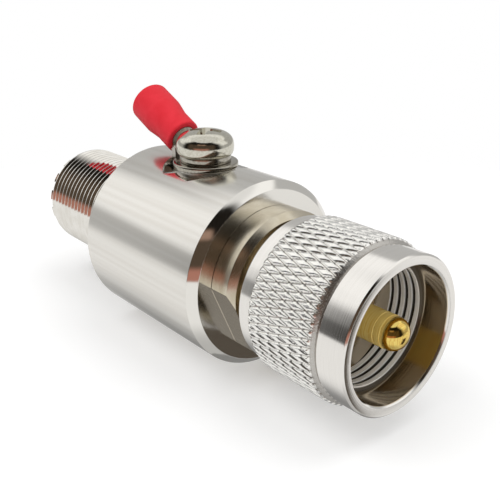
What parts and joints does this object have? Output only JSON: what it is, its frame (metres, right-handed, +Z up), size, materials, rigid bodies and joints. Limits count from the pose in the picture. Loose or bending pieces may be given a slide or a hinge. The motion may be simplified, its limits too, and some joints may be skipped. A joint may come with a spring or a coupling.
{
  "type": "coaxial lightning arrestor",
  "caption": "Inline coaxial surge arrestor: tube body with threaded socket, knurled coupling nut plug, inner gas tube and a ground screw with sleeved ring terminal.",
  "frame": {"origin": "centre of the body's rear face, where the socket's thread starts, on the connector's axis", "axes": "+X along the connector's axis towards the plug, +Z up through the ground screw"},
  "size_m": [0.0681, 0.0246, 0.0335],
  "materials": {
    "nickel_plate": "bright nickel plate on turned brass",
    "gold_plate": "polished gold plate",
    "spring_steel": "spring steel",
    "plated_steel": "nickel-plated steel",
    "tinned_copper": "tinned copper sheet",
    "insulator": "machined fluoropolymer",
    "ceramic": "unglazed ceramic",
    "red_vinyl": "matte red vinyl"
  },
  "bodies": {
    "arrestor": {"body_shell": "nickel_plate", "socket_shell": "nickel_plate", "plug_shell": "nickel_plate", "nut_retaining_ring": "spring_steel", "socket_insulator": "insulator", "socket_contact": "gold_plate", "inner_conductor": "gold_plate", "center_pin": "gold_plate", "plug_insulator": "insulator", "tube_carrier": "insulator", "tube_ceramic": "ceramic", "tube_upper_electrode": "plated_steel", "tube_lower_electrode": "plated_steel", "tube_disc_spring": "spring_steel", "ring_terminal": "tinned_copper", "terminal_sleeve": "red_vinyl"},
    "coupling_nut": {"coupling_nut": "nickel_plate"},
    "screw_washers": {"lock_washer": "plated_steel", "flat_washer": "plated_steel"},
    "ground_screw": {"ground_screw": "plated_steel"}
  },
  "joints": [
    {"name": "coupling_nut_spin", "type": "hinge", "parent": "arrestor", "child": "coupling_nut", "pos_m": [0.038, 0, 0], "axis": [1, 0, 0], "continuous": true},
    {"name": "ground_screw_lift", "type": "slide", "parent": "arrestor", "child": "screw_washers", "axis": [0, 0, 1], "range_m": [0, 0.0021]},
    {"name": "ground_screw_turn", "type": "hinge", "parent": "screw_washers", "child": "ground_screw", "pos_m": [0.012, 0, 0.01355], "axis": [0, 0, 1], "range_deg": [0, 1080]}
  ],
  "couplings": [
    {"joint": "ground_screw_turn", "follows": "ground_screw_lift", "rad_per_m": 8976}
  ]
}
